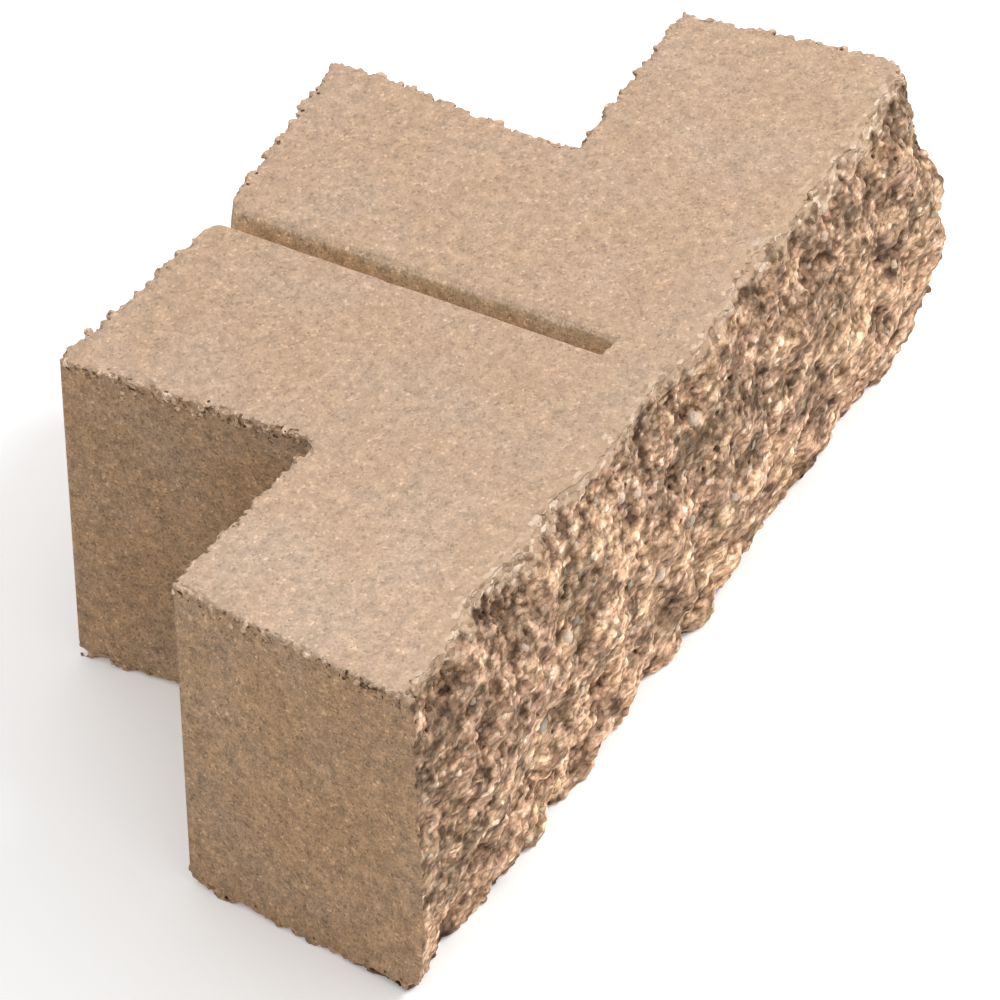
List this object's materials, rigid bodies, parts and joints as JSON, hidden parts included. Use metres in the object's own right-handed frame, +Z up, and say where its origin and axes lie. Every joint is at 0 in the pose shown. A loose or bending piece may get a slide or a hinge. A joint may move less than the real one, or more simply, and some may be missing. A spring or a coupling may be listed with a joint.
{
  "type": "retaining wall block",
  "caption": "T-shaped concrete retaining wall block with a rough split face, tapered ends, a flared tail and a groove in its top that opens at the rear.",
  "frame": {"origin": "on the bed, at the middle of the face's width and halfway between the mould line of the face and the tail's rear corners", "axes": "+X along the face, +Y from the split face to the tail, +Z up from the bed"},
  "size_m": [0.4177, 0.2247, 0.149],
  "materials": {
    "concrete": "dry-cast tan concrete, fine and sandy where moulded and coarse where split"
  },
  "bodies": {
    "root": {"wall_block": "concrete"}
  },
  "joints": []
}
